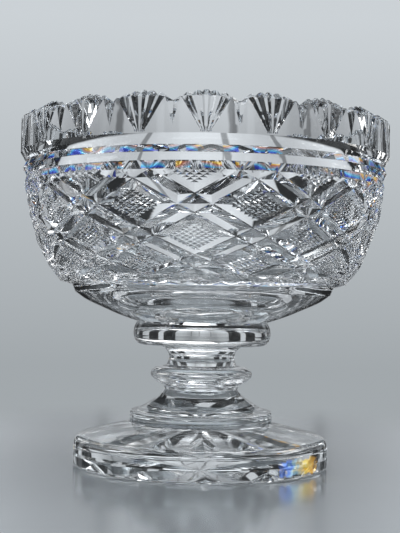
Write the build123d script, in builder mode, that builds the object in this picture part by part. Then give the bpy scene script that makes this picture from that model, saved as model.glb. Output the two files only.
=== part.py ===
"""Footed cut-crystal punch bowl.

A heavy hand-made glass bowl on a short pedestal.  The pieces are the gathers
of glass that the maker works one after another and fuses on the axis:
foot, stem base, knop, neck, collar and bowl.  Every joint between two of
them is a flat disc square to the axis.

Units are millimetres, +Z is up, the origin is the middle of the resting
face, and the front of the bowl is -Y.
"""
from build123d import *
from math import atan2, cos, degrees, radians, sin
import os

os.makedirs("parts", exist_ok=True)

# ---------------------------------------------------------------- dimensions
# rim
rim_r = 152.5            # outer wall at the rim
rim_inner_r = 144.8      # inner lip of the rim
rim_peak_z = 286.0       # top of the middle lobe of each fan
rim_shoulder_z = 280.5   # outer edge of the rim bevel
rim_band_z = 254.0       # lower edge of the plain rim wall

# fans cut round the rim
fan_count = 20
fan_first_deg = -89.9    # direction of the first fan, from +X
fan_foot_z = 253.5       # where the cuts of one fan run out
fan_cuts_top = (3.2, 10.6, 17.3)      # offsets of the cuts at the rim
fan_cuts_foot = (0.8, 2.2, 3.6)       # the same cuts at the foot of the fan
fan_cut_depth = (3.0, 3.1, 3.0)
fan_cut_half_width = (2.7, 3.7, 2.1)
spear_foot_z = 259.5     # foot of the single cut between two fans
spear_depth = 4.4
spear_half_width = 5.6
lobe_dips = ((3.2, 1.8), (10.6, 3.3), (18.5, 5.0))   # offset, drop below the peak
lobe_peaks = ((0.0, 0.0), (6.9, 0.7), (13.8, 2.2))
notch_drop = 8.0

# ring grooves under the rim
groove_upper_r, groove_upper_z = 148.1, 246.5
ridge_r, ridge_z = 150.4, 240.8
groove_lower_r, groove_lower_z = 147.3, 235.3

# cut belt of the bowl, from its top edge down to its overhanging foot
belt = [
    (149.0, 229.0), (149.2, 226.2), (148.0, 217.9), (145.0, 205.7),
    (142.9, 196.6), (140.7, 189.2), (138.3, 182.7), (135.7, 176.2),
    (133.1, 170.5), (129.7, 165.6), (126.6, 159.8), (122.3, 154.2),
    (118.3, 150.1),
]
# plain underside of the bowl
belt_foot = [(109.7, 147.7), (108.4, 147.3), (105.8, 141.5)]
underside = [(105.8, 141.5), (97.0, 135.4), (82.0, 128.6), (69.0, 123.1), (55.2, 118.4)]
bowl_seat_r = 54.2
# smooth inside of the bowl
inside_wall = [
    (144.8, 280.0), (144.0, 250.0), (140.6, 229.0), (137.4, 210.0),
    (133.3, 192.0), (127.2, 176.0), (118.2, 162.5), (105.0, 151.8),
    (88.0, 143.8), (66.0, 138.4), (40.0, 135.7), (0.0, 135.0),
]

# pedestal levels
bowl_seat_z = 118.1
collar_seat_z = 98.9
neck_seat_z = 82.4
knop_seat_z = 62.4
stem_seat_z = 41.3

# collar
collar_r = 57.0
# knop and neck
knop_r = 42.1
waist_r = 30.0
neck_r = 27.2
neck_foot_r = 28.8
neck_top_r = 34.9
# stem base
stem_base_r = 59.0
# foot
foot_r = 105.0
foot_rest_r = 102.4
foot_wall_z = 17.0         # crease between the upright wall and the shoulder
step_r = 59.0
step_z = 35.0

# star cut into the underside of the foot
star_rays = 12
star_first_deg = -87.5
star_tip_r = 100.3
star_wide_r = 91.0         # the cuts widen outwards to here, then run out
star_half_width = 15.9
star_depth = 6.4


# ---------------------------------------------------------------------- foot
# One cut of the star: a wedge that widens away from the axis and then runs
# out in a blunt tip.
def ray_section_at(radius, scale):
    with BuildSketch(Plane.YZ.offset(radius)) as section:
        with BuildLine():
            Polyline(
                (-star_half_width * (scale + 0.2), -star_depth * 0.2),
                (star_half_width * (scale + 0.2), -star_depth * 0.2),
                (0, star_depth * scale),
                close=True,
            )
        make_face()
    return section.sketch.face()


with BuildPart() as star_ray:
    loft(sections=[Vertex(1.0, 0, -0.6), ray_section_at(star_wide_r, 1.0)], ruled=True)
    loft(sections=[ray_section_at(star_wide_r, 1.0), ray_section_at(96.5, 0.78)], ruled=True)
    loft(sections=[ray_section_at(96.5, 0.78), Vertex(star_tip_r, 0, -0.6)], ruled=True)

with BuildPart() as foot:
    with BuildSketch(Plane.XZ):
        with BuildLine():
            l1 = Line((0, 0), (foot_rest_r, 0))
            l2 = ThreePointArc(l1 @ 1, (foot_r - 0.88, 0.88), (foot_r, 3.0))
            l3 = Line(l2 @ 1, (foot_r, foot_wall_z))
            l3b = Line(l3 @ 1, (foot_r - 0.4, foot_wall_z + 0.6))
            l4 = ThreePointArc(l3b @ 1, (103.0, 22.4), (98.6, 24.95))
            l5 = Spline(l4 @ 1, (85.0, 28.5), (70.0, 32.1), (60.2, 34.4))
            l6 = Line(l5 @ 1, (step_r, step_z))
            l7 = Line(l6 @ 1, (step_r, stem_seat_z - 1.0))
            l8 = Line(l7 @ 1, (step_r - 1.0, stem_seat_z))
            l9 = Line(l8 @ 1, (0, stem_seat_z))
            Line(l9 @ 1, l1 @ 0)
        make_face()
    revolve(axis=Axis.Z)
    with PolarLocations(0, star_rays, start_angle=star_first_deg):
        add(star_ray.part, mode=Mode.SUBTRACT)
foot.part.label = "foot"

# ----------------------------------------------------------------- stem base
with BuildPart() as stem_base:
    with BuildSketch(Plane.XZ):
        with BuildLine():
            l1 = Line((0, stem_seat_z), (stem_base_r - 1.0, stem_seat_z))
            l2 = ThreePointArc(l1 @ 1, (stem_base_r - 0.3, 43.2), (56.2, 44.9))
            l3 = Spline(l2 @ 1, (48.8, 47.6), (41.3, 52.1), (33.6, 57.7), (waist_r, knop_seat_z))
            l4 = Line(l3 @ 1, (0, knop_seat_z))
            Line(l4 @ 1, l1 @ 0)
        make_face()
    revolve(axis=Axis.Z)
stem_base.part.label = "stem_base"

# ---------------------------------------------------------------------- knop
with BuildPart() as knop:
    with BuildSketch(Plane.XZ):
        with BuildLine():
            l1 = Line((0, knop_seat_z), (waist_r, knop_seat_z))
            l2 = Spline(l1 @ 1, (31.6, 65.4), (37.2, 68.6), (41.2, 72.4))
            l3 = ThreePointArc(l2 @ 1, (knop_r, 75.2), (40.6, 78.2))
            l4 = Spline(l3 @ 1, (37.6, 80.1), (32.6, 81.2), (neck_foot_r, neck_seat_z))
            l5 = Line(l4 @ 1, (0, neck_seat_z))
            Line(l5 @ 1, l1 @ 0)
        make_face()
    revolve(axis=Axis.Z)
knop.part.label = "knop"

# ---------------------------------------------------------------------- neck
with BuildPart() as neck:
    with BuildSketch(Plane.XZ):
        with BuildLine():
            l1 = Line((0, neck_seat_z), (neck_foot_r, neck_seat_z))
            l2 = Spline(l1 @ 1, (neck_r, 87.7), (28.6, 93.6), (neck_top_r, collar_seat_z))
            l3 = Line(l2 @ 1, (0, collar_seat_z))
            Line(l3 @ 1, l1 @ 0)
        make_face()
    revolve(axis=Axis.Z)
neck.part.label = "neck"

# -------------------------------------------------------------------- collar
with BuildPart() as collar:
    with BuildSketch(Plane.XZ):
        with BuildLine():
            l1 = Line((0, collar_seat_z), (50.0, collar_seat_z))
            l2 = ThreePointArc(l1 @ 1, (55.1, 101.6), (collar_r - 0.2, 106.4))
            l3 = Line(l2 @ 1, (collar_r, 107.0))
            l4 = ThreePointArc(l3 @ 1, (56.6, 112.6), (bowl_seat_r, bowl_seat_z))
            l5 = Line(l4 @ 1, (0, bowl_seat_z))
            Line(l5 @ 1, l1 @ 0)
        make_face()
    revolve(axis=Axis.Z)
collar.part.label = "collar"

# ---------------------------------------------------------------------- bowl
bevel = atan2(rim_peak_z - rim_shoulder_z, rim_r - rim_inner_r)
cut_top_z = rim_peak_z + 4.0
run_out = 0.5            # the cutters leave the wall a little before their own foot


def cutter_section(offset, depth, half_width, height):
    """Corners of a V cutter at the top plane, scaled from its size at the rim shoulder."""
    grow = (cut_top_z - height) / (rim_shoulder_z - height)
    inner = rim_r - depth * grow
    outer = rim_r + 3.0
    half = half_width * (depth * grow + 3.0) / depth
    return [(inner, offset), (outer, offset - half), (outer, offset + half)]


# The six cuts of one fan, three each side of its middle, and the spear
# between this fan and the next.
flutes = []
for side in (-1, 1):
    for top, low, depth, half in zip(fan_cuts_top, fan_cuts_foot, fan_cut_depth, fan_cut_half_width):
        reach = (cut_top_z - fan_foot_z) / (rim_shoulder_z - fan_foot_z)
        top_offset = side * (low + (top - low) * reach)
        with BuildPart() as flute:
            with BuildSketch(Plane.XY.offset(cut_top_z)) as flute_section:
                with BuildLine():
                    Polyline(*cutter_section(top_offset, depth, half, fan_foot_z), close=True)
                make_face()
            loft(
                sections=[Vertex(rim_r + run_out, side * low, fan_foot_z), flute_section.sketch.face()],
                ruled=True,
            )
        flutes.append(flute.part)

with BuildPart() as spear:
    with BuildSketch(Plane.XY.offset(cut_top_z)) as spear_section:
        with BuildLine():
            Polyline(*cutter_section(0, spear_depth, spear_half_width, spear_foot_z), close=True)
        make_face()
    loft(sections=[Vertex(rim_r + run_out, 0, spear_foot_z), spear_section.sketch.face()], ruled=True)

# The scalloped outline of one fan, carried out and down along the rim bevel.
outline_plane = Plane(
    origin=(rim_inner_r, 0, rim_peak_z),
    x_dir=(0, 1, 0),
    z_dir=(cos(bevel), 0, -sin(bevel)),
)
with BuildPart() as scallop:
    with BuildSketch(outline_plane):
        with BuildLine():
            drop = cos(bevel)
            (a0, d0), (a1, d1), (a2, d2) = lobe_dips
            (p0, h0), (p1, h1), (p2, h2) = lobe_peaks
            edge = 24.4
            ThreePointArc((-a0, -d0 * drop), (0, -h0 * drop), (a0, -d0 * drop))
            for s in (-1, 1):
                ThreePointArc((s * a0, -d0 * drop), (s * p1, -h1 * drop), (s * a1, -d1 * drop))
                ThreePointArc((s * a1, -d1 * drop), (s * p2, -h2 * drop), (s * a2, -d2 * drop))
                Line((s * a2, -d2 * drop), (s * 22.6, -notch_drop * drop))
                Line((s * 22.6, -notch_drop * drop), (s * edge, -notch_drop * drop))
                Line((s * edge, -notch_drop * drop), (s * edge, 6.0))
            Line((-edge, 6.0), (edge, 6.0))
        make_face()
    extrude(amount=16.0, both=True)

with BuildPart() as bowl:
    with BuildSketch(Plane.XZ):
        with BuildLine():
            l1 = Line((0, bowl_seat_z), (bowl_seat_r, bowl_seat_z))
            l2 = Line(l1 @ 1, underside[-1])
            l3 = Spline(*reversed(underside))
            l4 = Polyline(*reversed(belt_foot))
            l5 = Line(l4 @ 1, belt[-1])
            l6 = Spline(*reversed(belt))
            l7 = Polyline(
                belt[0],
                (groove_lower_r, groove_lower_z),
                (ridge_r, ridge_z),
                (groove_upper_r, groove_upper_z),
                (rim_r, rim_band_z),
                (rim_r, rim_shoulder_z),
                (rim_inner_r, rim_peak_z),
                inside_wall[0],
            )
            l8 = Spline(*inside_wall)
            Line(l8 @ 1, l1 @ 0)
        make_face()
    revolve(axis=Axis.Z)
    with PolarLocations(0, fan_count, start_angle=fan_first_deg):
        add(scallop.part, mode=Mode.SUBTRACT)
    for cut in flutes:
        with PolarLocations(0, fan_count, start_angle=fan_first_deg):
            add(cut, mode=Mode.SUBTRACT)
    with PolarLocations(0, fan_count, start_angle=fan_first_deg + 180.0 / fan_count):
        add(spear.part, mode=Mode.SUBTRACT)
bowl.part.label = "bowl"

# -------------------------------------------------------------------- export
for piece in (foot, stem_base, knop, neck, collar, bowl):
    print(piece.part.label, "solids", len(piece.part.solids()), "volume", round(piece.part.volume / 1000, 1), "cm3")

export_step(foot.part, "parts/foot.step")
export_step(stem_base.part, "parts/stem_base.step")
export_step(knop.part, "parts/knop.step")
export_step(neck.part, "parts/neck.step")
export_step(collar.part, "parts/collar.step")
export_step(bowl.part, "parts/bowl.step")
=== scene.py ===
"""Footed cut-crystal punch bowl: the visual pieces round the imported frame."""
import bpy
import math
from mathutils import Matrix, Vector
import numpy as np


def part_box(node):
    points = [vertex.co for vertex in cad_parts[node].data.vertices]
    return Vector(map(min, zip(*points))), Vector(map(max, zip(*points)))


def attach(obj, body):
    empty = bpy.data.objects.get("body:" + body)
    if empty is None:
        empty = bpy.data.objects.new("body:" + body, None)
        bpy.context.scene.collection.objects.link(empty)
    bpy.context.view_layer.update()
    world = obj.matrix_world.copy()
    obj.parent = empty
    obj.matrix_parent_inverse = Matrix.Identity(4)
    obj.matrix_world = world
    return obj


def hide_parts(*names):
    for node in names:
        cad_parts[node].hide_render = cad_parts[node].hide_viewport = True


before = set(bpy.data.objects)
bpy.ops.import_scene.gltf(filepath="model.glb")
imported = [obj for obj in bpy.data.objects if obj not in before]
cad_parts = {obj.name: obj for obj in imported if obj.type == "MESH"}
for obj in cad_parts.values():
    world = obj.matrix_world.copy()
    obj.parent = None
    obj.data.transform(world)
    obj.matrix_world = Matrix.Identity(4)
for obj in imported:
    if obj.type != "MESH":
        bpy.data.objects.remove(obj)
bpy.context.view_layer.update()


# =====================================================================
# Sizes, in millimetres, taken from the frame's own boxes where it has them
# =====================================================================
MM = 0.001
bowl_lo, bowl_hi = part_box("bowl")
RIM_R = float(bowl_hi[0]) / MM            # 152.5
SEAT_BOWL = float(bowl_lo[2]) / MM        # 118.1
RIM_TOP = float(bowl_hi[2]) / MM          # 286
collar_lo, collar_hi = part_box("collar")
SEAT_COLLAR = float(collar_lo[2]) / MM    # 98.9
neck_lo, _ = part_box("neck")
SEAT_NECK = float(neck_lo[2]) / MM        # 82.4
knop_lo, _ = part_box("knop")
SEAT_KNOP = float(knop_lo[2]) / MM        # 62.4
foot_lo, foot_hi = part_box("foot")
SEAT_STEM = float(foot_hi[2]) / MM        # 41.3
FOOT_R = float(foot_hi[0]) / MM           # 105

RIM_IN = 144.8
TURN = 2 * math.pi


# =====================================================================
# Mesh helpers
# =====================================================================
class Shell:
    """A triangle mesh gathered point by point, in millimetres, with shared points."""

    def __init__(self):
        self.co, self.found, self.tris, self.slots = [], {}, [], []

    def point(self, x, y, z):
        key = (round(x * 400), round(y * 400), round(z * 400))
        at = self.found.get(key)
        if at is None:
            at = self.found[key] = len(self.co)
            self.co.append((x, y, z))
        return at

    def polar(self, r, theta, z):
        """A point at a radius, an angle from the front (-Y) towards +X, and a height."""
        return self.point(r * math.sin(theta), -r * math.cos(theta), z)

    def tri(self, a, b, c, slot=0):
        if a != b and b != c and a != c:
            self.tris.append((a, b, c))
            self.slots.append(slot)

    def quad(self, a, b, c, d, slot=0):
        """a-b-c-d in order, cut along the shorter diagonal."""
        p = self.co
        ac = sum((p[a][k] - p[c][k]) ** 2 for k in range(3))
        bd = sum((p[b][k] - p[d][k]) ** 2 for k in range(3))
        if ac <= bd:
            self.tri(a, b, c, slot)
            self.tri(a, c, d, slot)
        else:
            self.tri(a, b, d, slot)
            self.tri(b, c, d, slot)

    def ring(self, r, z, count, start=0.0):
        """A level ring of evenly spaced points: (ids, angles)."""
        angles = [start + TURN * k / count for k in range(count)]
        return [self.polar(r, t, z) for t in angles], angles

    def strip(self, low, high, slot=0):
        """Faces between two rings with the same number of points."""
        n = len(low)
        for k in range(n):
            j = (k + 1) % n
            self.quad(low[k], low[j], high[j], high[k], slot)

    def zipper(self, low, low_t, high, high_t, slot=0):
        """Faces between two rings whose points don't line up. Angles rise through one turn."""
        n, m = len(low), len(high)
        j0 = min(range(m), key=lambda k: abs((high_t[k] - low_t[0] + math.pi) % TURN - math.pi))
        base = low_t[0]

        def along(angles, first, k):
            t = angles[(first + k) % len(angles)] - base
            turns = (first + k) // len(angles) - (first // len(angles))
            t = (t + math.pi) % TURN - math.pi if k == 0 else t % TURN
            if k and (first + k) % len(angles) == first % len(angles):
                t = (angles[first] - base + math.pi) % TURN - math.pi + TURN
            return t

        a = b = 0
        while a < n or b < m:
            ta = along(low_t, 0, a + 1) if a < n else 1e9
            tb = along(high_t, j0, b + 1) if b < m else 1e9
            if ta <= tb:
                self.tri(low[a % n], low[(a + 1) % n], high[(j0 + b) % m], slot)
                a += 1
            else:
                self.tri(low[a % n], high[(j0 + b + 1) % m], high[(j0 + b) % m], slot)
                b += 1

    def fan(self, ring, centre, slot=0):
        n = len(ring)
        for k in range(n):
            self.tri(ring[k], ring[(k + 1) % n], centre, slot)

    def build(self, name, materials, crease_deg):
        """A Blender object with normals turned outwards and edges sharper than crease_deg kept sharp."""
        used = sorted({i for t in self.tris for i in t})
        new = {old: k for k, old in enumerate(used)}
        verts = np.array([self.co[i] for i in used], dtype=float) * MM
        faces = [tuple(new[i] for i in t) for t in self.tris]
        mesh = bpy.data.meshes.new(name)
        mesh.from_pydata(verts.tolist(), [], faces)
        for material in materials:
            mesh.materials.append(material)
        mesh.polygons.foreach_set("material_index", self.slots)
        import bmesh

        bm = bmesh.new()
        bm.from_mesh(mesh)
        bmesh.ops.recalc_face_normals(bm, faces=bm.faces)
        if bm.calc_volume(signed=True) < 0:
            bmesh.ops.reverse_faces(bm, faces=bm.faces)
        open_edges = sum(1 for e in bm.edges if len(e.link_faces) != 2)
        volume = bm.calc_volume(signed=True)
        bm.to_mesh(mesh)
        bm.free()
        mesh.shade_smooth()
        mesh.set_sharp_from_angle(angle=math.radians(crease_deg))
        mesh.update()
        piece = bpy.data.objects.new(name, mesh)
        bpy.context.scene.collection.objects.link(piece)
        print("MESH", name, "faces", len(faces), "open edges", open_edges, "cm3", round(volume * 1e6, 1))
        return piece


def smooth_line(points, steps):
    """Points along a Catmull-Rom line through the given (r, z) points."""
    p = [np.array(q, float) for q in points]
    p = [2 * p[0] - p[1]] + p + [2 * p[-1] - p[-2]]
    out = []
    for i in range(1, len(p) - 2):
        a, b, c, d = p[i - 1], p[i], p[i + 1], p[i + 2]
        ta = 0.0
        tb = ta + np.linalg.norm(b - a) ** 0.5
        tc = tb + np.linalg.norm(c - b) ** 0.5
        td = tc + np.linalg.norm(d - c) ** 0.5
        for s in range(steps):
            t = tb + (tc - tb) * s / steps
            ab = (tb - t) / (tb - ta) * a + (t - ta) / (tb - ta) * b
            bc = (tc - t) / (tc - tb) * b + (t - tb) / (tc - tb) * c
            cd = (td - t) / (td - tc) * c + (t - tc) / (td - tc) * d
            abc = (tc - t) / (tc - ta) * ab + (t - ta) / (tc - ta) * bc
            bcd = (td - t) / (td - tb) * bc + (t - tb) / (td - tb) * cd
            q = (tc - t) / (tc - tb) * abc + (t - tb) / (tc - tb) * bcd
            out.append((float(q[0]), float(q[1])))
    out.append(tuple(float(v) for v in points[-1]))
    return out


def arc_line(start, through, end, steps):
    """Points along the circular arc from start through a middle point to end."""
    (x1, y1), (x2, y2), (x3, y3) = start, through, end
    d = 2 * (x1 * (y2 - y3) + x2 * (y3 - y1) + x3 * (y1 - y2))
    ux = ((x1**2 + y1**2) * (y2 - y3) + (x2**2 + y2**2) * (y3 - y1) + (x3**2 + y3**2) * (y1 - y2)) / d
    uy = ((x1**2 + y1**2) * (x3 - x2) + (x2**2 + y2**2) * (x1 - x3) + (x3**2 + y3**2) * (x2 - x1)) / d
    r = math.hypot(x1 - ux, y1 - uy)
    a1, a2, a3 = (math.atan2(y - uy, x - ux) for x, y in (start, through, end))
    span = (a3 - a1) % TURN
    if (a2 - a1) % TURN > span:
        span -= TURN
    return [(ux + r * math.cos(a1 + span * k / steps), uy + r * math.sin(a1 + span * k / steps)) for k in range(steps + 1)]


# =====================================================================
# Materials
# =====================================================================
def crystal(name, tint, rough, wave, wave_scale, wear=None, painted_fire=False, painted_fire_spot=None, ior=1.56):
    """Clear lead crystal: polish that varies a little, slow waves in the surface, wear where it rubs."""
    m = bpy.data.materials.new(name)
    m.use_nodes = True
    nt = m.node_tree
    nt.nodes.clear()
    out = nt.nodes.new("ShaderNodeOutputMaterial")
    sh = nt.nodes.new("ShaderNodeBsdfPrincipled")
    sh.inputs["Transmission Weight"].default_value = 1.0
    sh.inputs["IOR"].default_value = ior
    sh.inputs["Specular IOR Level"].default_value = 0.5
    nt.links.new(sh.outputs[0], out.inputs[0])
    where = nt.nodes.new("ShaderNodeTexCoord")

    # colour: the faint cool tint of the metal, a little uneven from gather to gather
    body = nt.nodes.new("ShaderNodeTexNoise")
    body.inputs["Scale"].default_value = 14.0
    body.inputs["Detail"].default_value = 3.0
    nt.links.new(where.outputs["Object"], body.inputs["Vector"])
    ramp = nt.nodes.new("ShaderNodeValToRGB")
    ramp.color_ramp.elements[0].position = 0.3
    ramp.color_ramp.elements[0].color = (*[c * 0.985 for c in tint], 1)
    ramp.color_ramp.elements[1].position = 0.7
    ramp.color_ramp.elements[1].color = (*tint, 1)
    nt.links.new(body.outputs["Fac"], ramp.inputs["Fac"])
    colour = ramp.outputs["Color"]

    if painted_fire:
        # painted spectral fire in the ring grooves: thin coloured bands painted into the base colour where the
        # cut would split light into colours, broken up round the bowl
        axes = nt.nodes.new("ShaderNodeSeparateXYZ")
        nt.links.new(where.outputs["Object"], axes.inputs[0])
        height = nt.nodes.new("ShaderNodeMapRange")
        height.clamp = False
        height.inputs["From Min"].default_value = 0.2296
        height.inputs["From Max"].default_value = 0.2354         # one turn of the hues on each facet
        nt.links.new(axes.outputs["Z"], height.inputs["Value"])
        within = nt.nodes.new("ShaderNodeMath")
        within.operation = "FRACT"
        nt.links.new(height.outputs["Result"], within.inputs[0])
        bands = nt.nodes.new("ShaderNodeValToRGB")
        el = bands.color_ramp.elements
        HUES = ((0.03, 0.05, 0.55), (0.04, 0.16, 0.90), (0.10, 0.60, 0.95), (0.90, 0.92, 0.45), (1.0, 0.62, 0.10), (0.80, 0.22, 0.03))
        for k in range(6):
            e = el[k] if k < 2 else el.new(0.5)
            e.position, e.color = k / 5, (*HUES[k], 1)
        # the painted fire's hue wanders round the bowl, and the painted fire shows only here and there
        wander = nt.nodes.new("ShaderNodeTexNoise")
        wander.inputs["Scale"].default_value = 70.0
        wander.inputs["Detail"].default_value = 0.0
        nt.links.new(where.outputs["Object"], wander.inputs["Vector"])
        drift = nt.nodes.new("ShaderNodeMath")
        drift.operation = "MULTIPLY_ADD"
        drift.inputs[1].default_value = 2.2
        nt.links.new(wander.outputs["Fac"], drift.inputs[0])
        offset = nt.nodes.new("ShaderNodeMath")
        offset.operation = "SUBTRACT"
        offset.inputs[1].default_value = 1.05
        nt.links.new(within.outputs[0], offset.inputs[0])
        nt.links.new(offset.outputs[0], drift.inputs[2])
        nt.links.new(drift.outputs[0], bands.inputs["Fac"])

        def patches(scale, squash, low, high):
            n = nt.nodes.new("ShaderNodeTexNoise")
            n.inputs["Scale"].default_value = scale
            n.inputs["Detail"].default_value = 1.0
            m2 = nt.nodes.new("ShaderNodeMapping")
            m2.inputs["Scale"].default_value = (1.0, 1.0, squash)
            m2.inputs["Location"].default_value = (0.31, 0.17, 0.0)
            nt.links.new(where.outputs["Object"], m2.inputs["Vector"])
            nt.links.new(m2.outputs[0], n.inputs["Vector"])
            r = nt.nodes.new("ShaderNodeMapRange")
            r.interpolation_type = "SMOOTHSTEP"
            r.inputs["From Min"].default_value = low
            r.inputs["From Max"].default_value = high
            nt.links.new(n.outputs["Fac"], r.inputs["Value"])
            return r.outputs["Result"]

        # only the two facets that face upwards get the painted fire
        def between(low, high):
            pair = []
            for level, up in ((low, True), (high, False)):
                r = nt.nodes.new("ShaderNodeMapRange")
                r.inputs["From Min"].default_value = level - 0.0003
                r.inputs["From Max"].default_value = level + 0.0003
                r.inputs["To Min"].default_value = 0.0 if up else 1.0
                r.inputs["To Max"].default_value = 1.0 if up else 0.0
                nt.links.new(axes.outputs["Z"], r.inputs["Value"])
                pair.append(r.outputs["Result"])
            m2 = nt.nodes.new("ShaderNodeMath")
            m2.operation = "MULTIPLY"
            nt.links.new(pair[0], m2.inputs[0])
            nt.links.new(pair[1], m2.inputs[1])
            return m2.outputs[0]

        facets = nt.nodes.new("ShaderNodeMath")
        facets.operation = "ADD"
        nt.links.new(between(0.2412, 0.2458), facets.inputs[0])
        nt.links.new(between(0.2296, 0.2344), facets.inputs[1])
        wide = nt.nodes.new("ShaderNodeMath")
        wide.operation = "MULTIPLY"
        nt.links.new(patches(15.0, 0.3, 0.40, 0.50), wide.inputs[0])
        nt.links.new(patches(135.0, 0.4, 0.46, 0.51), wide.inputs[1])
        painted_fire_mask = nt.nodes.new("ShaderNodeMath")
        painted_fire_mask.operation = "MULTIPLY"
        nt.links.new(wide.outputs[0], painted_fire_mask.inputs[0])
        nt.links.new(facets.outputs[0], painted_fire_mask.inputs[1])
        mix = nt.nodes.new("ShaderNodeMix")
        mix.data_type = "RGBA"
        nt.links.new(painted_fire_mask.outputs[0], mix.inputs[0])
        nt.links.new(colour, mix.inputs[6])
        nt.links.new(bands.outputs["Color"], mix.inputs[7])
        colour = mix.outputs[2]
        # the same bands painted again as a faint emission: a painted glow, as though the split light shone from
        # the glass itself
        painted_glow_ramp = nt.nodes.new("ShaderNodeValToRGB")
        for k in range(6):
            e = painted_glow_ramp.color_ramp.elements[k] if k < 2 else painted_glow_ramp.color_ramp.elements.new(0.5)
            e.position, e.color = k / 5, (*[c * 0.45 for c in HUES[k]], 1)
        nt.links.new(drift.outputs[0], painted_glow_ramp.inputs["Fac"])
        painted_fire_glow = nt.nodes.new("ShaderNodeMix")
        painted_fire_glow.data_type = "RGBA"
        painted_fire_glow.inputs[6].default_value = (0, 0, 0, 1)
        nt.links.new(painted_fire_mask.outputs[0], painted_fire_glow.inputs[0])
        nt.links.new(painted_glow_ramp.outputs["Color"], painted_fire_glow.inputs[7])
        nt.links.new(painted_fire_glow.outputs[2], sh.inputs["Emission Color"])
        sh.inputs["Emission Strength"].default_value = 0.7
    if painted_fire_spot is not None:
        # one short patch of painted spectral fire in the upright wall: a painted caustic in the base colour, and
        # a painted glow through the emission
        first, half_deg, low, high = painted_fire_spot
        place = nt.nodes.new("ShaderNodeSeparateXYZ")
        nt.links.new(where.outputs["Object"], place.inputs[0])

        def step(op, a, b=None, c=None):
            n = nt.nodes.new("ShaderNodeMath")
            n.operation = op
            for k, v in enumerate((a, b, c)):
                if isinstance(v, (int, float)):
                    n.inputs[k].default_value = v
                elif v is not None:
                    nt.links.new(v, n.inputs[k])
            return n.outputs[0]

        def ease(value, low_end, high_end):
            n = nt.nodes.new("ShaderNodeMapRange")
            n.interpolation_type = "SMOOTHSTEP"
            n.inputs["From Min"].default_value = low_end
            n.inputs["From Max"].default_value = high_end
            nt.links.new(value, n.inputs["Value"])
            return n.outputs["Result"]

        ragged = nt.nodes.new("ShaderNodeTexNoise")
        ragged.inputs["Scale"].default_value = 210.0
        ragged.inputs["Detail"].default_value = 2.0
        nt.links.new(where.outputs["Object"], ragged.inputs["Vector"])
        shake = step("SUBTRACT", ragged.outputs["Fac"], 0.5)
        angle = step("ARCTAN2", place.outputs["X"], step("MULTIPLY", place.outputs["Y"], -1.0))
        phase = step("SUBTRACT", angle, first)
        edge_at, core_at = math.cos(math.radians(half_deg)), math.cos(math.radians(half_deg * 0.65))
        middle = ease(step("ADD", step("COSINE", phase), step("MULTIPLY", shake, 0.05)), edge_at, core_at)
        tall = step("MULTIPLY", ease(step("MULTIPLY_ADD", shake, 0.008, place.outputs["Z"]), low, low + 0.002),
                    step("SUBTRACT", 1.0, ease(step("MULTIPLY_ADD", shake, 0.008, place.outputs["Z"]), high - 0.002, high)))
        painted_spot_mask = step("MULTIPLY", middle, tall)
        tones = nt.nodes.new("ShaderNodeValToRGB")
        for k, (at, c) in enumerate((
            (0.20, (0.10, 0.25, 0.95)), (0.34, (0.45, 0.80, 0.98)), (0.46, (1.0, 0.93, 0.62)), (0.60, (1.0, 0.72, 0.10)), (0.80, (0.95, 0.50, 0.06)),
        )):
            e = tones.color_ramp.elements[k] if k < 2 else tones.color_ramp.elements.new(at)
            e.position, e.color = at, (*c, 1)
        nt.links.new(step("MULTIPLY_ADD", step("SINE", phase), 2.2, step("MULTIPLY_ADD", shake, 0.5, 0.5)), tones.inputs["Fac"])
        painted_spot_colour = nt.nodes.new("ShaderNodeMix")
        painted_spot_colour.data_type = "RGBA"
        nt.links.new(painted_spot_mask, painted_spot_colour.inputs[0])
        nt.links.new(colour, painted_spot_colour.inputs[6])
        nt.links.new(tones.outputs["Color"], painted_spot_colour.inputs[7])
        colour = painted_spot_colour.outputs[2]
        # painted glow: the same fire colours as emission, though the foot is no lamp
        painted_spot_glow = nt.nodes.new("ShaderNodeMix")
        painted_spot_glow.data_type = "RGBA"
        painted_spot_glow.inputs[6].default_value = (0, 0, 0, 1)
        nt.links.new(painted_spot_mask, painted_spot_glow.inputs[0])
        nt.links.new(tones.outputs["Color"], painted_spot_glow.inputs[7])
        nt.links.new(painted_spot_glow.outputs[2], sh.inputs["Emission Color"])
        sh.inputs["Emission Strength"].default_value = 0.35
    nt.links.new(colour, sh.inputs["Base Color"])

    # polish: bright all over, with dull fingermarks that are hardly there
    marks = nt.nodes.new("ShaderNodeTexNoise")
    marks.inputs["Scale"].default_value = 55.0
    marks.inputs["Detail"].default_value = 5.0
    nt.links.new(where.outputs["Object"], marks.inputs["Vector"])
    polish = nt.nodes.new("ShaderNodeMapRange")
    polish.inputs["From Min"].default_value = 0.42
    polish.inputs["From Max"].default_value = 0.75
    polish.inputs["To Min"].default_value = rough[0]
    polish.inputs["To Max"].default_value = rough[1]
    nt.links.new(marks.outputs["Fac"], polish.inputs["Value"])
    dull = polish.outputs["Result"]
    if wear is not None:
        low, high, amount = wear
        axes = nt.nodes.new("ShaderNodeSeparateXYZ")
        nt.links.new(where.outputs["Object"], axes.inputs[0])
        band = nt.nodes.new("ShaderNodeMapRange")
        band.inputs["From Min"].default_value = low
        band.inputs["From Max"].default_value = high
        band.inputs["To Min"].default_value = amount
        band.inputs["To Max"].default_value = 0.0
        nt.links.new(axes.outputs["Z"], band.inputs["Value"])
        both = nt.nodes.new("ShaderNodeMath")
        both.operation = "ADD"
        nt.links.new(dull, both.inputs[0])
        nt.links.new(band.outputs["Result"], both.inputs[1])
        dull = both.outputs[0]
    nt.links.new(dull, sh.inputs["Roughness"])

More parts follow.
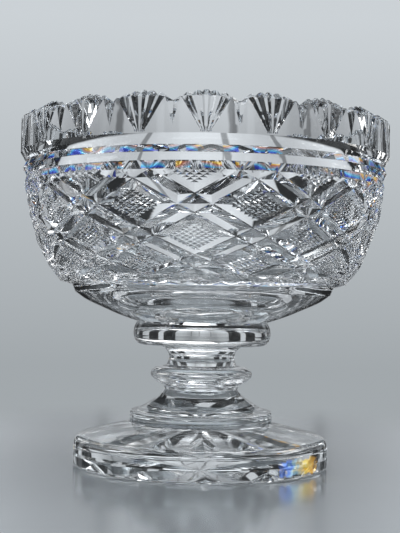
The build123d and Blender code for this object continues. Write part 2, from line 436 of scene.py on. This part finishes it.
    # the slow unevenness of hand work
    slow = nt.nodes.new("ShaderNodeTexNoise")
    slow.inputs["Scale"].default_value = wave_scale
    slow.inputs["Detail"].default_value = 1.0
    nt.links.new(where.outputs["Object"], slow.inputs["Vector"])
    bump = nt.nodes.new("ShaderNodeBump")
    bump.inputs["Strength"].default_value = 1.0
    bump.inputs["Distance"].default_value = wave
    nt.links.new(slow.outputs["Fac"], bump.inputs["Height"])
    nt.links.new(bump.outputs[0], sh.inputs["Normal"])
    return m


def fused_joint():
    """Where two gathers are fused there is no surface at all, so light goes straight on."""
    m = bpy.data.materials.new("fused_joint")
    m.use_nodes = True
    nt = m.node_tree
    nt.nodes.clear()
    out = nt.nodes.new("ShaderNodeOutputMaterial")
    clear = nt.nodes.new("ShaderNodeBsdfTransparent")
    nt.links.new(clear.outputs[0], out.inputs[0])
    return m


CUT = crystal("crystal_cut", (0.925, 0.940, 0.950), (0.0, 0.012), 0.00002, 60.0)
# the ring-groove cut, with painted spectral fire in its base colour and a painted glow in its emission
CUT_PAINTED_FIRE = crystal("crystal_ring_cut_painted_fire", (0.925, 0.940, 0.950), (0.0, 0.012), 0.00002, 60.0, painted_fire=True)
SMOOTH = crystal("crystal_smooth", (0.940, 0.952, 0.960), (0.0, 0.015), 0.00012, 22.0)
STEM = crystal("crystal_stem", (0.930, 0.948, 0.954), (0.0, 0.012), 0.00010, 40.0)
# the foot's upright wall carries one patch of painted spectral fire
FOOT = crystal("crystal_foot", (0.930, 0.948, 0.954), (0.0, 0.015), 0.00010, 34.0, wear=(0.0, 0.0012, 0.12), painted_fire_spot=(math.radians(48), 14.0, 0.0025, 0.0160))
FUSED = fused_joint()


# =====================================================================
# Bowl
# =====================================================================
# --- the cut belt -----------------------------------------------------
BELT = np.array([
    (150.1, 118.3), (154.2, 122.3), (159.8, 126.6), (165.6, 129.7), (170.5, 133.1),
    (176.2, 135.7), (182.7, 138.3), (189.2, 140.7), (196.6, 142.9), (205.7, 145.0),
    (217.9, 148.0), (226.2, 149.2), (229.0, 149.0),
])
# smooth outline of the belt as radius against height
belt_fit = np.polynomial.Polynomial.fit(BELT[:, 0], BELT[:, 1], 5)
belt_slope = belt_fit.deriv()
# rows of the diamond pattern: height against row number
ROW_FIT = np.polynomial.Polynomial.fit([0.0, 1.0, 2.0, 3.0, 3.8], [230.0, 204.2, 181.4, 162.4, 150.1], 4)
ROW_SIZE = ROW_FIT.deriv()
V_TOP, V_LOW = 0.04, 3.8
PHASE = math.radians(-2.8)
STEP_U = math.radians(18.0)

# depth of the cutting across one diagonal band and one crosshatched field
FIELD = 0.40
HATCH = 6
HATCH_DEPTH = 1.05
BAND_DEPTH = 4.1
VALLEY, FLOOR = 0.28, 0.022              # middle and half width of each cut's narrow floor
LEVEL = FIELD + (1.0 - FIELD - VALLEY - FLOOR) * HATCH_DEPTH / BAND_DEPTH
lines, levels = [], []
for k in range(2 * HATCH + 1):
    lines.append(-FIELD + FIELD * k / HATCH)
    levels.append(HATCH_DEPTH if k % 2 else 0.0)
for at, depth in (
    (LEVEL, HATCH_DEPTH),
    (1.0 - VALLEY - FLOOR, BAND_DEPTH),
    (1.0 - VALLEY + FLOOR, BAND_DEPTH),
    (1.0, HATCH_DEPTH),
    (1.0 + VALLEY - FLOOR, BAND_DEPTH),
    (1.0 + VALLEY + FLOOR, BAND_DEPTH),
    (2.0 - LEVEL, HATCH_DEPTH),
):
    lines.append(at)
    levels.append(depth)
PERIOD = len(lines)


def line_at(k):
    turn, i = divmod(k, PERIOD)
    return lines[i] + 2.0 * turn, levels[i]


def belt_point(shell, u, v, depth):
    theta = u * STEP_U + PHASE
    z = float(ROW_FIT(v))
    r = float(belt_fit(z))
    slope = float(belt_slope(z))
    n = math.hypot(1.0, slope)
    # the cuts get shallower as they run out at the two edges
    fade = min(1.0, 0.42 + 0.58 * max(0.0, (v - V_TOP) / 0.20), 0.22 + 0.78 * max(0.0, (V_LOW - v) / 0.22))
    # and the crosshatching keeps its slope in the smaller rows lower down
    small = min(1.0, float(ROW_SIZE(v)) / float(ROW_SIZE(0.5)))
    d = (min(depth, HATCH_DEPTH) * small + max(0.0, depth - HATCH_DEPTH) * (0.25 * small + 0.75)) * fade
    return shell.polar(r - d / n, theta, z + d * slope / n)


bowl = Shell()
cells = 10 * PERIOD                      # grid lines in one full turn of u
flat = {}                                # (p line, q line) -> flat vertex


def lattice():
    """The belt's triangles, in the flat (u, v, depth) plane, clipped at its two edges."""
    verts, index, tris = [], {}, []

    def corner(i, j):
        # u and u + 20 are the same place; the shell's shared points join the two ends
        key = (i, j)
        at = index.get(key)
        if at is None:
            p, gp = line_at(i)
            q, gq = line_at(j)
            at = index[key] = len(verts)
            verts.append(((p + q) / 2, (p - q) / 2, max(gp, gq)))
        return at

    # p = u + v and q = u - v
    for i in range(-PERIOD, cells + 4 * PERIOD):
        p0, gp0 = line_at(i)
        p1, gp1 = line_at(i + 1)
        for j in range(-4 * PERIOD, cells + PERIOD):
            q0, gq0 = line_at(j)
            q1, gq1 = line_at(j + 1)
            u = (p0 + p1 + q0 + q1) / 4
            v = (p0 + p1 - q0 - q1) / 4
            if not (-1e-4 <= u < 20.0 - 1e-4 and V_TOP - 0.35 < v < V_LOW + 0.35):
                continue
            a, b, c, d = corner(i, j), corner(i + 1, j), corner(i + 1, j + 1), corner(i, j + 1)
            true = max((gp0 + gp1) / 2, (gq0 + gq1) / 2)
            ac = abs((verts[a][2] + verts[c][2]) / 2 - true)
            bd = abs((verts[b][2] + verts[d][2]) / 2 - true)
            if ac <= bd:
                tris += [(a, b, c), (a, c, d)]
            else:
                tris += [(a, b, d), (b, c, d)]
    return verts, tris


def clip(verts, tris, level, keep_above):
    """Triangles cut at v = level, keeping one side. Cut points are shared."""
    sign = 1.0 if keep_above else -1.0
    cut = {}
    out = []

    def side(i):
        return sign * (verts[i][1] - level)

    def crossing(i, j):
        key = (min(i, j), max(i, j))
        at = cut.get(key)
        if at is None:
            a, b = verts[key[0]], verts[key[1]]
            t = (level - a[1]) / (b[1] - a[1])
            at = cut[key] = len(verts)
            verts.append((a[0] + (b[0] - a[0]) * t, level, a[2] + (b[2] - a[2]) * t))
        return at

    for tri in tris:
        inside = [side(i) >= -1e-9 for i in tri]
        if all(inside):
            out.append(tri)
        elif any(inside):
            poly = []
            for k in range(3):
                i, j = tri[k], tri[(k + 1) % 3]
                if inside[k]:
                    poly.append(i)
                if inside[k] != inside[(k + 1) % 3]:
                    poly.append(crossing(i, j))
            for k in range(1, len(poly) - 1):
                out.append((poly[0], poly[k], poly[k + 1]))
    return out


flat_verts, flat_tris = lattice()
flat_tris = clip(flat_verts, flat_tris, V_TOP, True)
flat_tris = clip(flat_verts, flat_tris, V_LOW, False)
ids = {}
edge_top, edge_low = {}, {}
for tri in flat_tris:
    made = []
    for i in tri:
        if i not in ids:
            u, v, depth = flat_verts[i]
            ids[i] = belt_point(bowl, u, v, depth)
            theta = (u * STEP_U + PHASE) % TURN
            if abs(v - V_TOP) < 1e-6:
                edge_top[ids[i]] = theta
            if abs(v - V_LOW) < 1e-6:
                edge_low[ids[i]] = theta
        made.append(ids[i])
    bowl.tri(*made, slot=0)


def in_order(found):
    """Edge points round the bowl, by angle."""
    pairs = sorted((bowl_angle(i), i) for i in found)
    return [i for _, i in pairs], [t for t, _ in pairs]


def bowl_angle(i):
    x, y, _ = bowl.co[i]
    return math.atan2(x, -y) % TURN


top_loop, top_t = in_order(edge_top)
low_loop, low_t = in_order(edge_low)

# --- ring grooves -----------------------------------------------------
FINE = 360
groove_low = [bowl.polar(147.3, t, 235.3) for t in top_t]
bowl.strip(top_loop, groove_low, slot=1)
ridge, ridge_t = bowl.ring(150.4, 240.8, FINE)
bowl.zipper(groove_low, top_t, ridge, ridge_t, slot=1)
groove_high, _ = bowl.ring(148.1, 246.5, FINE)
bowl.strip(ridge, groove_high, slot=1)
wall_low, wall_t = bowl.ring(RIM_R - 0.02, 254.0, FINE)
bowl.strip(groove_high, wall_low, slot=1)

# --- rim: fans, spears and lobes ---------------------------------------
PITCH = TURN * RIM_R / 20
HALF = PITCH / 2
FAN_FIRST = math.radians(0.1)
SLOPE = 0.86
FAN_LOW, FAN_RUN = 256.6, 254.9          # where the cuts reach depth, and where they run out
FAN_HIGH = 280.5
SPEAR_LOW = 259.5


def lerp(a, b, t):
    return a + (b - a) * t


def fan_row(z):
    """(offset, depth) of the wall's outline at one height, from the fan's middle to the spear's."""
    s = max(0.0, (z - FAN_LOW) / (FAN_HIGH - FAN_LOW))
    fade = 1.0 if z >= FAN_LOW else max(0.0, (z - FAN_RUN) / (FAN_LOW - FAN_RUN))
    land = lerp(0.35, 1.5, s)                                          # narrow flat in the middle of the fan
    va, rab, vb = lerp(0.8, 3.2, s), lerp(1.5, 6.9, s), lerp(2.2, 10.6, s)
    rbc, vc, edge = lerp(2.9, 14.3, s), lerp(3.6, 17.3, s), lerp(4.2, 18.5, s)
    da, db, dc = lerp(0.6, 3.0, s), lerp(0.6, 3.1, s), lerp(0.6, 3.0, s)
    sp = max(0.0, (z - SPEAR_LOW) / (FAN_HIGH - SPEAR_LOW))
    sd, sedge = 4.4 * sp, HALF - 5.6 * sp
    ridge_depth = 0.0
    if edge > sedge:                     # the fan's last cut and the spear have met
        edge = sedge = (edge + sedge) / 2
        ridge_depth = 0.25
    out = [
        (0.0, 0.0), (land, 0.0), ((land + va) / 2, da / 2), (va, da), ((va + rab) / 2, da / 2),
        (rab, 0.0), ((rab + vb) / 2, db / 2), (vb, db), ((vb + rbc) / 2, db / 2), (rbc, 0.0),
        ((rbc + vc) / 2, dc / 2), (vc, dc), (edge, ridge_depth),
    ]
    for k in (1, 2, 3, 4):
        out.append((lerp(edge, sedge, k / 4), ridge_depth))
    out.append(((sedge + HALF) / 2, (ridge_depth + sd) / 2))
    out.append((HALF, sd))
    return [(x, d * fade) for x, d in out]


# top outline of the inner lip and of the outer edge, over one half fan
LIP = [(0.0, 286.0), (1.5, 285.75), (3.2, 284.2), (5.0, 285.1), (6.9, 285.3), (8.7, 284.6), (10.6, 282.7),
       (12.5, 283.8), (14.3, 283.8), (16.0, 283.0), (18.5, 281.0), (21.2, 279.2), (HALF, 277.6)]
BROW = [(0.0, 280.5), (14.3, 280.4), (17.3, 280.0), (18.5, 279.7), (21.2, 278.7), (HALF, 277.4)]


def read(table, x):
    x = abs(x)
    xs = [a for a, _ in table]
    ys = [b for _, b in table]
    return float(np.interp(x, xs, ys))


ROWS = [FAN_RUN, 255.7, FAN_LOW, SPEAR_LOW, 263.0, 267.0, 271.0, 274.0, 276.5]
fan_foot = {}
for fan in range(20):
    middle = FAN_FIRST + fan * TURN / 20
    grid = []
    for z in ROWS:
        half = fan_row(z)
        full = [(-x, d) for x, d in reversed(half[1:])] + half
        grid.append([bowl.polar(RIM_R - d, middle + x / RIM_R, z) for x, d in full])
    # top edge of the wall: every line is carried on to the brow
    brow, lip, inside = [], [], []
    half = fan_row(FAN_HIGH)
    full = [(-x, d) for x, d in reversed(half[1:])] + half
    for x, d in full:
        t = middle + x / RIM_R
        brow.append(bowl.polar(RIM_R - d, t, read(BROW, x)))
        lip.append(bowl.polar(RIM_IN, t, read(LIP, x)))
        inside.append(bowl.polar(RIM_IN, t, 273.0))
    grid.append(brow)
    grid.append(lip)
    grid.append(inside)
    for a, b in zip(grid[:-1], grid[1:]):
        for k in range(len(a) - 1):
            bowl.quad(a[k], a[k + 1], b[k + 1], b[k], slot=2 if b is inside else 0)
    fan_foot[fan] = (grid[0], grid[-1])


def whole_ring(which):
    points = set()
    for fan in range(20):
        points.update(fan_foot[fan][which])
    return in_order(points)


foot_ring, foot_ring_t = whole_ring(0)
bowl.zipper(wall_low, wall_t, foot_ring, foot_ring_t, slot=0)

# --- inside -----------------------------------------------------------
INNER = smooth_line([
    (144.8, 268.0), (144.0, 250.0), (140.6, 229.0), (137.4, 210.0), (133.3, 192.0), (127.2, 176.0),
    (118.2, 162.5), (105.0, 151.8), (88.0, 143.8), (66.0, 138.4), (40.0, 135.7), (12.0, 135.05),
], 3)
inner_ring, inner_t = whole_ring(1)
COARSE = 200
last, last_t = bowl.ring(*INNER[0], COARSE)
bowl.zipper(inner_ring, inner_t, last, last_t, slot=2)
for r, z in INNER[1:]:
    ring, _ = bowl.ring(r, z, COARSE)
    bowl.strip(last, ring, slot=2)
    last = ring
bowl.fan(last, bowl.point(0, 0, 135.0), slot=2)

# --- underside --------------------------------------------------------
over, over_t = bowl.ring(109.7, 147.7, COARSE)
bowl.zipper(low_loop, low_t, over, over_t, slot=0)
UNDER = [(108.4, 147.3), (105.8, 141.5)] + smooth_line(
    [(105.8, 141.5), (97.0, 135.4), (82.0, 128.6), (69.0, 123.1), (55.2, 118.4)], 5
)[1:] + [(54.2, SEAT_BOWL)]
last = over
for r, z in UNDER:
    ring, _ = bowl.ring(r, z, COARSE)
    bowl.strip(last, ring, slot=2)
    last = ring
bowl.fan(last, bowl.point(0, 0, SEAT_BOWL), slot=3)
bowl_piece = bowl.build("crystal_bowl", [CUT, CUT_PAINTED_FIRE, SMOOTH, FUSED], 13.0)


# =====================================================================
# Pedestal: turned gathers between the joints
# =====================================================================
def turned(name, profile, material, count=200, crease=28.0, close_low=True, close_high=True):
    """A closed turned piece; its joint discs carry the fused material."""
    s = Shell()
    rings = [s.ring(r, z, count)[0] for r, z in profile]
    for a, b in zip(rings[:-1], rings[1:]):
        s.strip(a, b, slot=0)
    if close_low:
        s.fan(rings[0], s.point(0, 0, profile[0][1]), slot=1)
    if close_high:
        s.fan(rings[-1], s.point(0, 0, profile[-1][1]), slot=1)
    return s.build(name, [material, FUSED], crease)


collar_profile = (
    [(50.0, SEAT_COLLAR)]
    + arc_line((50.0, SEAT_COLLAR), (55.0, 101.6), (56.8, 106.4), 10)[1:]
    + [(57.0, 107.0)]
    + arc_line((57.0, 107.0), (56.6, 112.6), (54.2, SEAT_BOWL), 12)[1:]
)
collar_piece = turned("crystal_collar", collar_profile, STEM)

neck_profile = smooth_line([(28.8, SEAT_NECK), (27.2, 87.7), (28.6, 93.6), (34.9, SEAT_COLLAR)], 8)
neck_piece = turned("crystal_neck", neck_profile, STEM)

knop_profile = (
    smooth_line([(30.0, SEAT_KNOP), (31.6, 65.4), (37.2, 68.6), (41.2, 72.4)], 6)
    + arc_line((41.2, 72.4), (42.1, 75.2), (40.6, 78.2), 8)[1:]
    + smooth_line([(40.6, 78.2), (37.6, 80.1), (32.6, 81.2), (28.8, SEAT_NECK)], 5)[1:]
)
knop_piece = turned("crystal_knop", knop_profile, STEM)

stem_profile = (
    [(58.0, SEAT_STEM)]
    + arc_line((58.0, SEAT_STEM), (58.7, 43.2), (56.2, 44.9), 8)[1:]
    + smooth_line([(56.2, 44.9), (48.8, 47.6), (41.3, 52.1), (33.6, 57.7), (30.0, SEAT_KNOP)], 7)[1:]
)
stem_piece = turned("crystal_stem_base", stem_profile, STEM)

# --- foot -------------------------------------------------------------
foot = Shell()
ROUND = 240
foot_profile = (
    [(102.4, 0.0)]
    + arc_line((102.4, 0.0), (FOOT_R - 0.88, 0.88), (FOOT_R, 3.0), 6)[1:]
    + [(FOOT_R, 8.0), (FOOT_R, 12.5), (FOOT_R, 17.0)]
    + arc_line((104.6, 17.6), (103.0, 22.4), (98.6, 24.95), 10)
    + smooth_line([(98.6, 24.95), (85.0, 28.5), (70.0, 32.1), (60.2, 34.4)], 5)[1:]
    + [(59.3, 34.8), (59.0, 35.4), (59.0, 40.3), (58.7, 41.0), (58.0, SEAT_STEM)]
)
rings = [foot.ring(r, z, ROUND)[0] for r, z in foot_profile]
for a, b in zip(rings[:-1], rings[1:]):
    foot.strip(a, b, slot=0)
foot.fan(rings[-1], foot.point(0, 0, SEAT_STEM), slot=1)

# star of twelve mitre cuts in the underside; each sector holds one cut
RAY_FIRST = math.radians(2.5)
TAN15 = math.tan(math.radians(15.0))
RAY_WIDE, RAY_SLOPE, RAY_FULL, RAY_TIP = 0.175, 0.40, 91.0, 100.0


def ray_half(x):
    """Half the width of one cut at a distance from the axis: widening outwards, then running out."""
    if x <= RAY_FULL:
        return RAY_WIDE * x
    return RAY_WIDE * RAY_FULL * math.sqrt(max(0.0, 1 - ((x - RAY_FULL) / (RAY_TIP - RAY_FULL)) ** 2))


ray_rows = [0.0, 6.0, 14.0, 24.0, 36.0, 48.0, 60.0, 70.0, 80.0, 86.0, RAY_FULL, 94.0, 96.5, 98.4, 99.5, RAY_TIP]
rim_points = {}
for ray in range(12):
    turn = RAY_FIRST + ray * TURN / 12
    rows = []
    for x in ray_rows:
        edge = ray_half(x)
        half = max(x * TAN15, edge)
        cols = [(0.0, edge * RAY_SLOPE), (edge, 0.0), ((edge + half) / 2, 0.0), (half, 0.0)]
        full = [(-y, z) for y, z in reversed(cols[1:])] + cols
        row = []
        for y, z in full:
            row.append(foot.polar(min(math.hypot(x, y), 101.4) if abs(y) >= x * TAN15 - 1e-6 else math.hypot(x, y), turn + math.atan2(y, x) if x else 0.0, max(z, 0.0)))
        rows.append(row)
    for a, b in zip(rows[:-1], rows[1:]):
        for k in range(len(a) - 1):
            foot.quad(a[k], a[k + 1], b[k + 1], b[k], slot=0)
    for i in rows[-1]:
        x, y, _ = foot.co[i]
        rim_points[i] = math.atan2(x, -y) % TURN
pairs = sorted((t, i) for i, t in rim_points.items())
star_loop, star_t = [i for _, i in pairs], [t for t, _ in pairs]
foot.zipper(star_loop, star_t, rings[0], [TURN * k / ROUND for k in range(ROUND)], slot=0)
foot_piece = foot.build("crystal_foot", [FOOT, FUSED], 13.0)

for piece, node, slot in (
    (bowl_piece, "bowl", "bowl_crystal"),
    (collar_piece, "collar", "stem_crystal"),
    (neck_piece, "neck", "stem_crystal"),
    (knop_piece, "knop", "stem_crystal"),
    (stem_piece, "stem_base", "stem_crystal"),
    (foot_piece, "foot", "foot_crystal"),
):
    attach(piece, "root")
    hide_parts(node)

# =====================================================================
# Floor, light and camera
# =====================================================================
floor_mesh = bpy.data.meshes.new("floor")
floor_mesh.from_pydata([(-6, -6, 0), (6, -6, 0), (6, 6, 0), (-6, 6, 0)], [], [(0, 1, 2, 3)])
floor = bpy.data.objects.new("floor", floor_mesh)
floor.location.z = -0.0002
bpy.context.scene.collection.objects.link(floor)
pale = bpy.data.materials.new("pale_floor")
pale.use_nodes = True
pt = pale.node_tree
ps = pt.nodes["Principled BSDF"]
spot = pt.nodes.new("ShaderNodeTexCoord")
grain = pt.nodes.new("ShaderNodeTexNoise")
grain.inputs["Scale"].default_value = 3.0
pt.links.new(spot.outputs["Object"], grain.inputs["Vector"])
tone = pt.nodes.new("ShaderNodeValToRGB")
tone.color_ramp.elements[0].color = (0.42, 0.455, 0.48, 1)
tone.color_ramp.elements[1].color = (0.47, 0.505, 0.53, 1)
pt.links.new(grain.outputs["Fac"], tone.inputs["Fac"])
pt.links.new(tone.outputs["Color"], ps.inputs["Base Color"])
satin = pt.nodes.new("ShaderNodeMapRange")
satin.inputs["To Min"].default_value = 0.13
satin.inputs["To Max"].default_value = 0.18
pt.links.new(grain.outputs["Fac"], satin.inputs["Value"])
pt.links.new(satin.outputs["Result"], ps.inputs["Roughness"])
ps.inputs["Specular IOR Level"].default_value = 0.9
ps.inputs["Metallic"].default_value = 0.5
# the floor ends softly, so it runs into the plain backdrop with no edge
reach = pt.nodes.new("ShaderNodeVectorMath")
reach.operation = "LENGTH"
pt.links.new(spot.outputs["Object"], reach.inputs[0])
melt = pt.nodes.new("ShaderNodeMapRange")
melt.interpolation_type = "SMOOTHSTEP"
melt.inputs["From Min"].default_value = 0.24
melt.inputs["From Max"].default_value = 0.55
pt.links.new(reach.outputs["Value"], melt.inputs["Value"])
gone = pt.nodes.new("ShaderNodeBsdfTransparent")
blend = pt.nodes.new("ShaderNodeMixShader")
back = pt.nodes.new("ShaderNodeNewGeometry")
clear = pt.nodes.new("ShaderNodeMath")
clear.operation = "MAXIMUM"
pt.links.new(melt.outputs["Result"], clear.inputs[0])
pt.links.new(back.outputs["Backfacing"], clear.inputs[1])
pt.links.new(clear.outputs[0], blend.inputs[0])
pt.links.new(ps.outputs[0], blend.inputs[1])
pt.links.new(gone.outputs[0], blend.inputs[2])
pt.links.new(blend.outputs[0], pt.nodes["Material Output"].inputs[0])
floor_mesh.materials.append(pale)

scene = bpy.context.scene
world = bpy.data.worlds.new("studio")
scene.world = world
world.use_nodes = True
wt = world.node_tree
wt.nodes.clear()
wout = wt.nodes.new("ShaderNodeOutputWorld")
bg = wt.nodes.new("ShaderNodeBackground")
wt.links.new(bg.outputs[0], wout.inputs[0])


def math_node(op, a, b=None, c=None, clamp=False):
    n = wt.nodes.new("ShaderNodeMath")
    n.operation = op
    n.use_clamp = clamp
    for k, v in enumerate((a, b, c)):
        if v is None:
            continue
        if isinstance(v, (int, float)):
            n.inputs[k].default_value = v
        else:
            wt.links.new(v, n.inputs[k])
    return n.outputs[0]


coord = wt.nodes.new("ShaderNodeTexCoord")
xyz = wt.nodes.new("ShaderNodeSeparateXYZ")
wt.links.new(coord.outputs["Generated"], xyz.inputs[0])
X, Y, Z = xyz.outputs
azimuth = math_node("ARCTAN2", X, Y)            # 0 behind the bowl as the camera sees it
turns = math_node("DIVIDE", azimuth, TURN)

height = math_node("ARCSINE", Z)                # 0 at the horizon, in radians


def rise(value, start, end):
    """0 below start, 1 above end, eased between."""
    n = wt.nodes.new("ShaderNodeMapRange")
    n.interpolation_type = "SMOOTHSTEP"
    n.inputs["From Min"].default_value = start
    n.inputs["From Max"].default_value = end
    wt.links.new(value, n.inputs["Value"])
    return n.outputs["Result"]


def band(value, low, high, soft):
    """1 between low and high, with soft edges."""
    return math_node("MULTIPLY", rise(value, low - soft, low + soft), math_node("SUBTRACT", 1.0, rise(value, high - soft, high + soft)))


DEG = math.pi / 180
# four wide bays round the studio, with black flags and narrow strips of light between them
across = math_node("SUBTRACT", math_node("FRACT", math_node("ADD", math_node("MULTIPLY", turns, 4.0), 0.5)), 0.5)
across = math_node("MULTIPLY", across, 90.0)    # degrees across the bay, -45 to 45
bay = math_node("ABSOLUTE", across)             # degrees from the middle of the bay
open_bay = math_node("SUBTRACT", 1.0, rise(bay, 15.4, 16.0))
strips = math_node("ADD", band(bay, 24.5, 29.0, 0.4), rise(bay, 39.4, 40.2))
narrow_bay = math_node("SUBTRACT", 1.0, rise(bay, 22.6, 23.4))
# soft folds in the wall light, and more of it higher up
fold = math_node("MULTIPLY_ADD", math_node("COSINE", math_node("MULTIPLY", azimuth, 28.0)), 0.16, 0.84)
climb = math_node("MULTIPLY_ADD", rise(height, -6.5 * DEG, 24 * DEG), 0.50, 0.36)
ends = math_node("MULTIPLY_ADD", math_node("ABSOLUTE", math_node("COSINE", azimuth)), 0.66, 0.34)
# three thin glazing bars stand in front of each bay, and end above the floor line
bars = math_node("ADD", band(across, 1.3, 1.8, 0.1), math_node("ADD", band(across, -5.2, -4.7, 0.1), band(across, 5.8, 6.3, 0.1)))
bars = math_node("MULTIPLY", bars, rise(height, 1.0 * DEG, 5.0 * DEG))
bars = math_node("MULTIPLY_ADD", bars, -0.60, 1.0)
wall = math_node("MULTIPLY", math_node("MULTIPLY", open_bay, bars), math_node("MULTIPLY", fold, climb))
wall = math_node("ADD", wall, math_node("MULTIPLY", strips, 0.66))
wall = math_node("MULTIPLY", wall, ends)
wall = math_node("MULTIPLY", band(height, -6.5 * DEG, 25 * DEG, 0.4 * DEG), wall)
panel = math_node("MULTIPLY", band(height, 38 * DEG, 55 * DEG, 0.5 * DEG), narrow_bay)
roof = band(height, 68 * DEG, 80 * DEG, 1.5 * DEG)
low = band(height, -50 * DEG, -30 * DEG, 2.0 * DEG)
total = math_node("ADD", math_node("MULTIPLY", wall, 1.0), math_node("MULTIPLY", panel, 1.40))
total = math_node("ADD", total, math_node("MULTIPLY", roof, 1.1))
total = math_node("ADD", total, math_node("MULTIPLY", low, 0.30))
total = math_node("ADD", total, 0.022)
room = wt.nodes.new("ShaderNodeCombineColor")
wt.links.new(math_node("MULTIPLY", total, 0.94), room.inputs[0])
wt.links.new(math_node("MULTIPLY", total, 0.985), room.inputs[1])
wt.links.new(math_node("MULTIPLY", total, 1.03), room.inputs[2])

seen = wt.nodes.new("ShaderNodeValToRGB")
seen.color_ramp.elements[0].position = 0.47
seen.color_ramp.elements[0].color = (0.36, 0.39, 0.41, 1)
seen.color_ramp.elements[1].position = 0.62
seen.color_ramp.elements[1].color = (0.60, 0.64, 0.67, 1)
wt.links.new(math_node("ADD", math_node("MULTIPLY", Z, 0.5), 0.5), seen.inputs["Fac"])
path = wt.nodes.new("ShaderNodeLightPath")
pick = wt.nodes.new("ShaderNodeMix")
pick.data_type = "RGBA"
wt.links.new(path.outputs["Is Camera Ray"], pick.inputs[0])
wt.links.new(room.outputs[0], pick.inputs[6])
wt.links.new(seen.outputs["Color"], pick.inputs[7])
wt.links.new(pick.outputs[2], bg.inputs["Color"])
bg.inputs["Strength"].default_value = 1.0


def softbox(name, at, aim, size, power, colour=(1, 1, 1)):
    data = bpy.data.lights.new(name, "AREA")
    data.shape = "RECTANGLE"
    data.size, data.size_y = size
    data.energy = power
    data.color = colour
    ob = bpy.data.objects.new(name, data)
    ob.location = at
    ob.rotation_euler = (Vector(aim) - Vector(at)).to_track_quat("-Z", "Y").to_euler()
    scene.collection.objects.link(ob)
    return ob


soft_top = softbox("soft_top", (0.3, 0.2, 1.7), (0, 0, 0.15), (0.9, 0.9), 11)
soft_top.visible_glossy = False           # no hard square in the satin floor
softbox("soft_left", (-1.5, -0.6, 1.2), (0, 0, 0.15), (0.8, 0.8), 6, (0.94, 0.97, 1.0))
softbox("soft_right", (1.6, 0.5, 1.3), (0, 0, 0.15), (0.7, 0.7), 5, (1.0, 0.98, 0.95))

camera_data = bpy.data.cameras.new("camera")
camera_data.lens = 1120 / 533 * 36
camera_data.sensor_width = 36
camera_data.sensor_fit = "AUTO"
camera_data.clip_start = 0.01
camera_data.dof.use_dof = False
camera = bpy.data.objects.new("camera", camera_data)
scene.collection.objects.link(camera)
EYE = Vector((0.0, -0.935, 0.1386))
PITCH_UP, YAW, ROLL = math.atan(30.5 / 1120), math.atan(3.2 / 1120), math.radians(1.0)
turn = (
    Matrix.Rotation(YAW, 4, "Z")
    @ Matrix.Rotation(math.radians(90) + PITCH_UP, 4, "X")
    @ Matrix.Rotation(ROLL, 4, "Z")
)
camera.matrix_world = Matrix.Translation(EYE) @ turn
scene.camera = camera

scene.cycles.max_bounces = 40
scene.cycles.transmission_bounces = 36
scene.cycles.glossy_bounces = 24
scene.cycles.transparent_max_bounces = 48
scene.cycles.diffuse_bounces = 4
scene.cycles.caustics_refractive = True
scene.cycles.caustics_reflective = True
scene.cycles.sample_clamp_indirect = 6.0
scene.view_settings.view_transform = "Standard"
